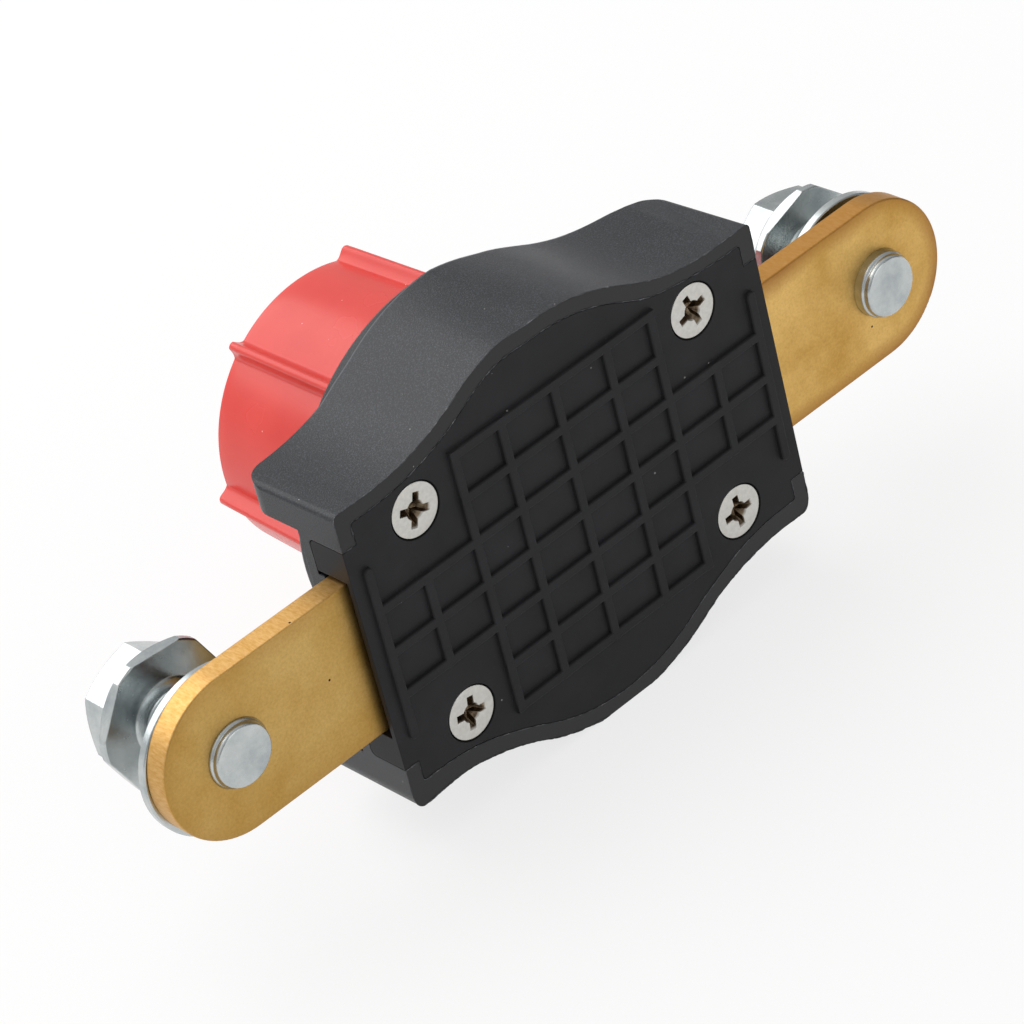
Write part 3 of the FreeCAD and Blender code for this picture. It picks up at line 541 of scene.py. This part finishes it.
class SWITCH_PG_sizes(bpy.types.PropertyGroup):
    """Sizes of the knob's edge, the threads and the flash."""
    knob_edge: bpy.props.FloatProperty(
        name="Knob edge", description="Rounding of the knob's edges", default=0.45 * MM,
        min=0.05 * MM, max=1.0 * MM, unit="LENGTH")
    pitch: bpy.props.FloatProperty(
        name="Thread pitch", description="Pitch of the terminal bolts' thread", default=1.5 * MM,
        min=0.5 * MM, max=3.0 * MM, unit="LENGTH")
    flash: bpy.props.FloatProperty(
        name="Flash", description="Thickness of the flash along the mouldings' edges", default=0.16 * MM,
        min=0.0, max=0.5 * MM, unit="LENGTH")


class SWITCH_PG_light(bpy.types.PropertyGroup):
    """Strength of the studio's lamps and colour of its floor."""
    key: bpy.props.FloatProperty(
        name="Key lamp", description="Power of the lamp at the upper left", default=5.2, min=0.0)
    fill: bpy.props.FloatProperty(
        name="Fill lamp", description="Power of the lamp at the right", default=1.8, min=0.0)
    world: bpy.props.FloatProperty(
        name="Surroundings", description="Brightness of the white surroundings", default=0.5, min=0.0)
    floor: bpy.props.FloatVectorProperty(
        name="Floor", description="Colour of the floor", subtype="COLOR", size=4, default=linear("#F4F4F4"),
        min=0.0, max=1.0)


# Pieces

class SWITCH_OT_housing(bpy.types.Operator):
    """Builds the housing in its grained finish, with its slight warp"""
    bl_idname = "switch.housing"
    bl_label = "Housing"

    def execute(self, context):
        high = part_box("housing")[1]
        wall_front = high.y - 19.3 * MM
        bow, half = 2.0 * MM, high.x - 4.0 * MM
        housing = dressed("housing_moulding", "housing", BODY, grained_abs(wall_front, bow, half))
        for v in housing.data.vertices:
            settle(v.co)
        return {"FINISHED"}


class SWITCH_OT_cover(bpy.types.Operator):
    """Builds the ribbed back cover, with its slight warp"""
    bl_idname = "switch.cover"
    bl_label = "Back cover"

    def execute(self, context):
        cover = dressed("ribbed_cover", "back_cover", BODY, plain_abs())
        for v in cover.data.vertices:
            settle(v.co)
        return {"FINISHED"}


class SWITCH_OT_flash(bpy.types.Operator):
    """Builds the mould flash along the housing's back rim"""
    bl_idname = "switch.flash"
    bl_label = "Mould flash"

    def execute(self, context):
        lines = self.rim_lines(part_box("housing")[1].y)
        if not lines:
            raise RuntimeError("the housing's rim has no edges")
        points, index, edges = [], {}, []
        for line in lines:
            edge = []
            for p in line:
                key = tuple(round(v, 6) for v in p)
                if key not in index:
                    index[key] = len(points)
                    points.append(p)
                    settle(p)
                edge.append(index[key])
            edges.append(edge)
        mesh = bpy.data.meshes.new("rim_lines")
        mesh.from_pydata(points, edges, [])
        obj = grown(new_object("rim_flash", mesh), flash_tree(rubbed_flash()),
                    {"Thickness": context.scene.switch_sizes.flash})
        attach(obj, BODY)
        return {"FINISHED"}

    def rim_lines(self, rim):
        """The housing's sharp edges that lie in the rim's plane, as pairs of points."""
        near = 0.01 * MM
        bm = bmesh.new()
        bm.from_mesh(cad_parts["housing"].data)
        bmesh.ops.remove_doubles(bm, verts=bm.verts, dist=0.002 * MM)
        lines = []
        for edge in bm.edges:
            a, b = (v.co for v in edge.verts)
            on_rim = abs(a.y - rim) < near and abs(b.y - rim) < near
            if on_rim and len(edge.link_faces) == 2 and edge.calc_face_angle() > math.radians(50.0):
                lines.append((a.copy(), b.copy()))
        bm.free()
        return lines


class SWITCH_OT_screws(bpy.types.Operator):
    """Builds the four countersunk cover screws, each cross turned as it was driven home"""
    bl_idname = "switch.screws"
    bl_label = "Cover screws"

    def execute(self, context):
        material = satin_nickel(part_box("cover_screw_1")[1].y)
        for k, turn in enumerate(SCREW_TURNS, 1):
            low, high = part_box(f"cover_screw_{k}")
            x, z, top = (low.x + high.x) / 2, (low.z + high.z) / 2, high.y
            screw = self.blank(f"screw_{k}", x, z, low.y, top)
            cutters = [self.cone(x, z, top)]
            cutters += [self.arm(Vector((x, top, z)), turn, quarter) for quarter in (0.0, 90.0)]
            for cutter in cutters:
                cut = screw.modifiers.new("Cross", "BOOLEAN")
                cut.operation = "DIFFERENCE"
                cut.solver = "EXACT"
                cut.object = cutter
            edge = screw.modifiers.new("Edge", "BEVEL")
            edge.width = 0.09 * MM
            edge.segments = 2
            edge.limit_method = "ANGLE"
            edge.angle_limit = math.radians(40.0)
            screw = baked(screw)
            for cutter in cutters:
                bpy.data.objects.remove(cutter)
            smoothed(screw, 35.0)
            paint(screw, material)
            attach(screw, BODY)
            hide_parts(f"cover_screw_{k}")
        return {"FINISHED"}

    def blank(self, name, x, z, foot, top):
        """The screw before its cross is cut: flat face, short land, countersink, shank and point."""
        head, shank, point = 4.1 * MM, 2.1 * MM, 0.5 * MM
        bm = bmesh.new()
        lathed(bm, [(0.0, top), (head - 0.18 * MM, top), (head - 0.07 * MM, top - 0.04 * MM),
                    (head, top - 0.14 * MM), (head, top - 0.4 * MM), (shank, top - 2.45 * MM),
                    (shank, foot + 2.0 * MM), (point, foot), (0.0, foot)], x, z, 72)
        return shaped(name, bm)

    def cone(self, x, z, top):
        """The middle of the cross recess, which narrows downwards."""
        above, wide, narrow, deep = top + 0.1 * MM, 1.52 * MM, 0.5 * MM, 1.8 * MM
        bm = bmesh.new()
        lathed(bm, [(0.0, above), (1.6 * MM, above), (wide, top), (narrow, top - deep), (0.0, top - deep)], x, z, 40)
        return shaped("cone", bm)

    def arm(self, middle, turn, quarter):
        """A pair of the cross recess's arms, tapered in length and width."""
        way = math.radians(turn + quarter)
        along = Vector((math.cos(way), 0.0, math.sin(way)))
        across = Vector((-along.z, 0.0, along.x))
        bm = bmesh.new()
        ends = []
        for y, length, width in ((0.1 * MM, 2.74 * MM, 0.58 * MM), (-1.7 * MM, 1.5 * MM, 0.38 * MM)):
            centre = middle + Vector((0.0, y, 0.0))
            ends.append([bm.verts.new(centre + along * (a * length) + across * (b * width))
                         for a, b in ((1, 1), (1, -1), (-1, -1), (-1, 1))])
        for i in range(4):
            j = (i + 1) % 4
            bm.faces.new((ends[0][i], ends[0][j], ends[1][j], ends[1][i]))
        for end in ends:
            bm.faces.new(end)
        return shaped(f"arm_{quarter:.0f}", bm)


class SWITCH_OT_bars(bpy.types.Operator):
    """Builds the two brass terminal bars"""
    bl_idname = "switch.bars"
    bl_label = "Terminal bars"

    def execute(self, context):
        half_width = 12.5 * MM
        bolt_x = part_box("left_terminal_bar")[1].x - half_width
        left = rolled_brass("dull rolled brass", bolt_x, "#B79049", "#CEAC6A", 0.25)
        right = rolled_brass("tarnished rolled brass", bolt_x, "#BE9246", "#E2BC73", 0.85)
        dressed("left_bar", "left_terminal_bar", BODY, left)
        dressed("right_bar", "right_terminal_bar", BODY, right)
        return {"FINISHED"}


class SWITCH_OT_bolts(bpy.types.Operator):
    """Builds the flanged terminal bolts with their threads and turned tips"""
    bl_idname = "switch.bolts"
    bl_label = "Terminal bolts"

    def execute(self, context):
        material = bright_zinc()
        pitch = context.scene.switch_sizes.pitch
        length, radius, ridge = 16.0 * MM, 5.0 * MM, 0.62 * MM
        core = radius - ridge
        fillet, runout, end_height = 0.75 * MM, 1.1 * MM, 1.35 * MM
        shrink, sunk = 0.8, 0.4 * MM
        for side in ("left", "right"):
            node = f"{side}_terminal_bolt"
            low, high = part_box(node)
            x, tip = (low.x + high.x) / 2, high.y
            seat, shank_end = tip - length, tip - end_height
            bolt = dressed(f"{side}_bolt", node, BODY, material)

            # The shank shrinks to the thread's core, and its end goes inside the turned tip
            for v in bolt.data.vertices:
                r = math.hypot(v.co.x - x, v.co.z)
                on_shank = 4.3 * MM < r < 5.2 * MM
                if on_shank and seat + fillet < v.co.y < shank_end:
                    v.co.x = x + (v.co.x - x) * core / r
                    v.co.z *= core / r
                elif v.co.y > shank_end:
                    v.co.x = x + (v.co.x - x) * shrink
                    v.co.y -= sunk
                    v.co.z *= shrink
            bm = bmesh.new()
            lathed(bm, [(r * MM, tip - deep * MM) for r, deep in BOLT_TIP], x, 0.0, 96)
            end = shaped(f"{side}_bolt_tip", bm)
            smoothed(end, 50.0)
            paint(end, material)
            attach(end, BODY)
            thread = new_object(f"{side}_bolt_thread", bpy.data.meshes.new("thread_seed"))
            thread = grown(thread, thread_tree(material), {
                "Core": core, "Ridge": ridge - 0.02 * MM, "Pitch": pitch, "Length": 13.3 * MM,
                "Place": (x, seat + runout, 0.0)})
            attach(thread, BODY)
        return {"FINISHED"}


class SWITCH_OT_washers(bpy.types.Operator):
    """Builds the terminal washers, the right one loose on its bolt"""
    bl_idname = "switch.washers"
    bl_label = "Terminal washers"

    def execute(self, context):
        material = bpy.data.materials["bright zinc plate"]
        dressed("left_washer", "left_terminal_washer", BODY, material)
        loose = dressed("right_washer", "right_terminal_washer", BODY, material)
        play = 0.9 * MM
        for v in loose.data.vertices:
            v.co.y += play
        return {"FINISHED"}


class SWITCH_OT_knob(bpy.types.Operator):
    """Builds the red grip knob"""
    bl_idname = "switch.knob"
    bl_label = "Knob"

    def execute(self, context):
        low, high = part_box("knob")
        front, back = low.y, high.y
        edge = context.scene.switch_sizes.knob_edge
        radius, draft, wall, hub = 21.7 * MM, 0.036, 2.3 * MM, 9.0 * MM
        dish, floor, screw, bore = 7.6 * MM, front + 4.4 * MM, 2.65 * MM, 6.1 * MM
        inner = front + 3.0 * MM
        seat = back - 18.3 * MM
        hub_end = back - 2.2 * MM
        ribs, first = 6, math.radians(-7.3)

        def skin(y):
            return radius + draft * (y - front)

        # Radius, place and rib height of each ring, from the screw's hole out over the face and back inside
        rings = [(screw, seat, 0.0), (screw, floor, 0.0), (dish, floor, 0.0), (dish, front + 0.3 * MM, 0.0),
                 (dish + 0.3 * MM, front, 0.0), (radius * 0.7, front, 0.0), (radius - 2.2 * edge, front, 0.0)]
        for k in range(5):
            turn = k / 4 * math.pi / 2
            rings.append((skin(front) - edge + edge * math.sin(turn), front + edge - edge * math.cos(turn),
                          0.72 + 0.28 * math.sin(turn)))
        for k in range(1, 15):
            y = front + edge + (back - front - 2 * edge) * k / 14
            rings.append((skin(y), y, 1.0))
        rings += [(skin(back) - 0.3 * edge, back - 0.1 * edge, 0.9), (skin(back) - edge, back, 0.0),
                  (skin(back) - wall, back, 0.0), (skin(inner) - wall, inner, 0.0), (hub, inner, 0.0),
                  (hub, hub_end, 0.0), (bore, hub_end, 0.0), (bore, seat, 0.0)]

        # Angles crowd together at the ribs, where the skin bends most
        angles = []
        for rib in range(ribs):
            middle = first + rib * 2 * math.pi / ribs
            angles += [middle + math.radians(-5.6 + 0.28 * k) for k in range(41)]
            angles += [middle + math.radians(5.6 + 48.8 * k / 25) for k in range(1, 25)]
        bm = bmesh.new()
        layer = bm.verts.layers.float.new("rib")
        grid = []
        for r, y, weight in rings:
            row = [bm.verts.new((r * math.cos(a), y, r * math.sin(a))) for a in angles]
            for vert in row:
                vert[layer] = weight
            grid.append(row)
        count = len(angles)
        for here, there in zip(grid, grid[1:] + grid[:1]):
            for i in range(count):
                j = (i + 1) % count
                bm.faces.new((here[i], here[j], there[j], there[i]))
        knob = grown(shaped("grip_knob", bm), rib_tree(red_pp()), {
            "Count": float(ribs), "First": first, "Rise": 2.1 * MM, "Half Width": 1.55 * MM})
        smoothed(knob, 50.0)
        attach(knob, ROTOR)
        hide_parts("knob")
        dressed("knob_fixing", "knob_screw", ROTOR, bpy.data.materials["bright zinc plate"])
        return {"FINISHED"}


class SWITCH_OT_inside(bpy.types.Operator):
    """Gives the working parts inside their finishes"""
    bl_idname = "switch.inside"
    bl_label = "Working parts"

    def execute(self, context):
        zinc = bpy.data.materials["bright zinc plate"]
        steel = inner_finish("turned steel", 1.0, "#8C8E90", "#B4B6B8", 0.25, 0.4)
        rubber = inner_finish("nitrile rubber", 0.0, "#191919", "#242424", 0.6, 0.75)
        nylon = inner_finish("natural filled nylon", 0.0, "#A79F8C", "#BDB5A2", 0.45, 0.6)
        copper = inner_finish("bare copper", 1.0, "#B86E4A", "#D08A63", 0.3, 0.45)
        finishes = {
            "spindle": steel, "spindle_seal": rubber, "contact_carrier": nylon, "contact_bridge": copper,
            "contact_spring": steel, "click_ball_1": steel, "click_ball_2": steel, "click_spring_1": steel,
            "click_spring_2": steel, "knob_screw_washer": zinc,
        }
        for node, material in finishes.items():
            paint(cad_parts[node], material)
        return {"FINISHED"}


class SWITCH_OT_stage(bpy.types.Operator):
    """Sets up the floor, the soft lamps, the white surroundings and the camera"""
    bl_idname = "switch.stage"
    bl_label = "Stage"

    def execute(self, context):
        scene = context.scene
        light = scene.switch_light
        scene.view_settings.view_transform = "Standard"
        scene.camera = self.photo_camera()
        self.lay_floor(light.floor)
        self.lamp("Key", (-0.85, 0.8, 0.2), 1.0, light.key, 0.8)
        self.lamp("Fill", (0.72, 0.05, 0.7), 0.6, light.fill, 1.1)
        scene.world = self.surroundings(light.world)
        return {"FINISHED"}

    def photo_camera(self):
        """The photo's camera."""
        data = bpy.data.cameras.new("Camera")
        data.sensor_width = 36.0
        data.lens = 164.21
        data.clip_start = 0.01
        data.clip_end = 20.0
        camera = new_object("Camera", data)
        rows = [(RIGHT[i], UP[i], BACK[i], PLACE[i]) for i in range(3)]
        camera.matrix_world = Matrix((*rows, (0.0, 0.0, 0.0, 1.0)))
        return camera

    def lay_floor(self, colour):
        """A wide flat floor just under the switch."""
        half, z = 4.0, CAD_BOX[0].z - 0.3 * MM
        mesh = bpy.data.meshes.new("floor")
        mesh.from_pydata([(-half, -half, z), (half, -half, z), (half, half, z), (-half, half, z)], [], [(0, 1, 2, 3)])
        floor = new_object("floor", mesh)
        paint(floor, self.floor_material(colour))

    def lamp(self, name, way, size, power, distance):
        """A square soft lamp that looks at the switch from a direction given in the camera's axes."""
        data = bpy.data.lights.new(name, "AREA")
        data.size = size
        data.energy = power
        obj = new_object(name, data)
        towards = (RIGHT * way[0] + UP * way[1] + BACK * way[2]).normalized()
        obj.location = towards * distance
        obj.rotation_mode = "QUATERNION"
        obj.rotation_quaternion = towards.to_track_quat("Z", "Y")

    def surroundings(self, strength):
        """White all round: even white to the eye, and brightest at the upper left where it lights or is mirrored."""
        world = bpy.data.worlds.new("White studio")
        world.use_nodes = True
        tree = world.node_tree
        tree.nodes.clear()
        ray = add(tree, "ShaderNodeLightPath").outputs
        way = add(tree, "ShaderNodeTexCoord").outputs["Generated"]
        brightest = (RIGHT * -0.75 + UP * 0.6 + BACK * 0.2).normalized()
        near = vector_step(tree, "DOT_PRODUCT", "Value", {0: way, 1: brightest})
        lit = spread(tree, near, -0.5, 0.9, strength * 0.45, strength * 1.5)
        mirrored = spread(tree, near, -0.3, 1.0, 0.25, 1.0)
        level = blend(tree, lit, mirrored, ray["Is Glossy Ray"], kind="FLOAT")
        seen = reckon(tree, "MAXIMUM", ray["Is Camera Ray"], ray["Is Transmission Ray"])
        level = blend(tree, level, 1.0, seen, kind="FLOAT")
        shade = add(tree, "ShaderNodeBackground", {"Color": (1.0, 1.0, 1.0, 1.0), "Strength": level})
        add(tree, "ShaderNodeOutputWorld", {"Surface": shade.outputs["Background"]})
        return world

    def floor_material(self, colour):
        """Matt white paper sweep: bright to the eye, and it keeps the object's soft shadow."""
        material = bpy.data.materials.new("matt white paper")
        material.use_nodes = True
        tree = material.node_tree
        tree.nodes.clear()
        ray = add(tree, "ShaderNodeLightPath").outputs
        seen = reckon(tree, "MAXIMUM", ray["Is Camera Ray"], ray["Is Glossy Ray"])
        share = reckon(tree, "MULTIPLY", seen, 0.75)
        matt = add(tree, "ShaderNodeBsdfDiffuse", {"Color": tuple(colour)}).outputs["BSDF"]
        glow = add(tree, "ShaderNodeEmission", {"Color": (1.0, 1.0, 1.0, 1.0), "Strength": 1.0}).outputs["Emission"]
        mixed = add(tree, "ShaderNodeMixShader", {0: share, 1: matt, 2: glow}).outputs["Shader"]
        add(tree, "ShaderNodeOutputMaterial", {"Surface": mixed})
        return material


class SWITCH_PT_panel(bpy.types.Panel):
    bl_label = "Battery disconnect switch"
    bl_idname = "SWITCH_PT_panel"
    bl_space_type = "VIEW_3D"
    bl_region_type = "UI"
    bl_category = "Switch"

    def draw(self, context):
        layout = self.layout
        for group in (context.scene.switch_sizes, context.scene.switch_light):
            for name in group.__annotations__:
                layout.prop(group, name)
        for operator in OPERATORS:
            layout.operator(operator.bl_idname)


OPERATORS = (
    SWITCH_OT_housing, SWITCH_OT_cover, SWITCH_OT_flash, SWITCH_OT_screws, SWITCH_OT_bars, SWITCH_OT_bolts,
    SWITCH_OT_washers, SWITCH_OT_knob, SWITCH_OT_inside, SWITCH_OT_stage,
)
CLASSES = (SWITCH_PG_sizes, SWITCH_PG_light, *OPERATORS, SWITCH_PT_panel)


def register():
    for cls in CLASSES:
        bpy.utils.register_class(cls)
    bpy.types.Scene.switch_sizes = bpy.props.PointerProperty(type=SWITCH_PG_sizes)
    bpy.types.Scene.switch_light = bpy.props.PointerProperty(type=SWITCH_PG_light)


def unregister():
    del bpy.types.Scene.switch_light
    del bpy.types.Scene.switch_sizes
    for cls in reversed(CLASSES):
        bpy.utils.unregister_class(cls)


def main():
    register()
    bpy.ops.switch.housing()
    bpy.ops.switch.cover()
    bpy.ops.switch.flash()
    bpy.ops.switch.screws()
    bpy.ops.switch.bars()
    bpy.ops.switch.bolts()
    bpy.ops.switch.washers()
    bpy.ops.switch.knob()
    bpy.ops.switch.inside()
    bpy.ops.switch.stage()


if __name__ == "__main__":
    main()
